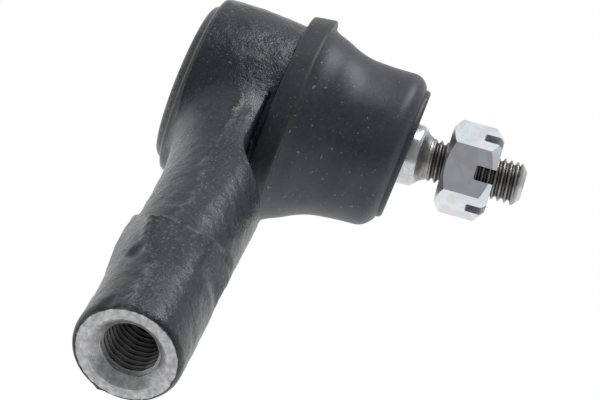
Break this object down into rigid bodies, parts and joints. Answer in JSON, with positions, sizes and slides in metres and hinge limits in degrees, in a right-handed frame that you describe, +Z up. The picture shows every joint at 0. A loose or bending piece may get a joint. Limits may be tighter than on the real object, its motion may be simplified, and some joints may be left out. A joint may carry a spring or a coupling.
{
  "type": "tie rod end",
  "caption": "Outer tie rod end: forged ball socket on a female-threaded shank, tapered ball stud with slotted nut, rubber dust boot.",
  "frame": {"origin": "centre of the ball, where the shank's axis meets the socket's axis", "axes": "+X along the shank to its threaded mouth, +Y along the socket's axis towards the stud's tip, +Z up as the part lies on a bench"},
  "size_m": [0.1283, 0.0818, 0.0516],
  "materials": {
    "housing": "black satin electro-coat over a shot-blasted forging",
    "cap_steel": "pressed steel disc, black coat",
    "spring_steel": "blued spring steel",
    "seat_plastic": "natural acetal bearing plastic",
    "stud_steel": "ground steel taper and ball, rolled oiled thread",
    "ring_rubber": "dull black rubber over a steel ring",
    "boot_rubber": "matt charcoal moulded rubber",
    "clip_steel": "spring steel wire",
    "nut_zinc": "bright blue-white zinc plate"
  },
  "bodies": {
    "root": {"housing": "housing", "end_cap": "cap_steel", "preload_spring": "spring_steel", "lower_seat": "seat_plastic", "upper_seat": "seat_plastic", "boot_seal_ring": "ring_rubber"},
    "boot": {"dust_boot": "boot_rubber"},
    "boot_top": {"boot_clip_ring": "clip_steel"},
    "stud": {"ball_stud": "stud_steel"},
    "nut": {"castle_nut": "nut_zinc"}
  },
  "joints": [
    {"name": "stud_tilt_up", "type": "hinge", "parent": "root", "child": "boot", "pos_m": [0, 0, 0], "axis": [1, 0, 0], "range_deg": [-25, 11], "deforming": ["dust_boot"]},
    {"name": "stud_tilt_along", "type": "hinge", "parent": "boot", "child": "boot_top", "pos_m": [0, 0, 0], "axis": [0, -0.1219, 0.9925], "range_deg": [-18, 18], "deforming": ["dust_boot"]},
    {"name": "stud_spin", "type": "hinge", "parent": "boot_top", "child": "stud", "pos_m": [0, 0, 0], "axis": [0, 0.9925, 0.1219], "continuous": true},
    {"name": "nut_run", "type": "slide", "parent": "stud", "child": "nut", "axis": [0, 0.9925, 0.1219], "range_m": [-0.003, 0.021]}
  ]
}
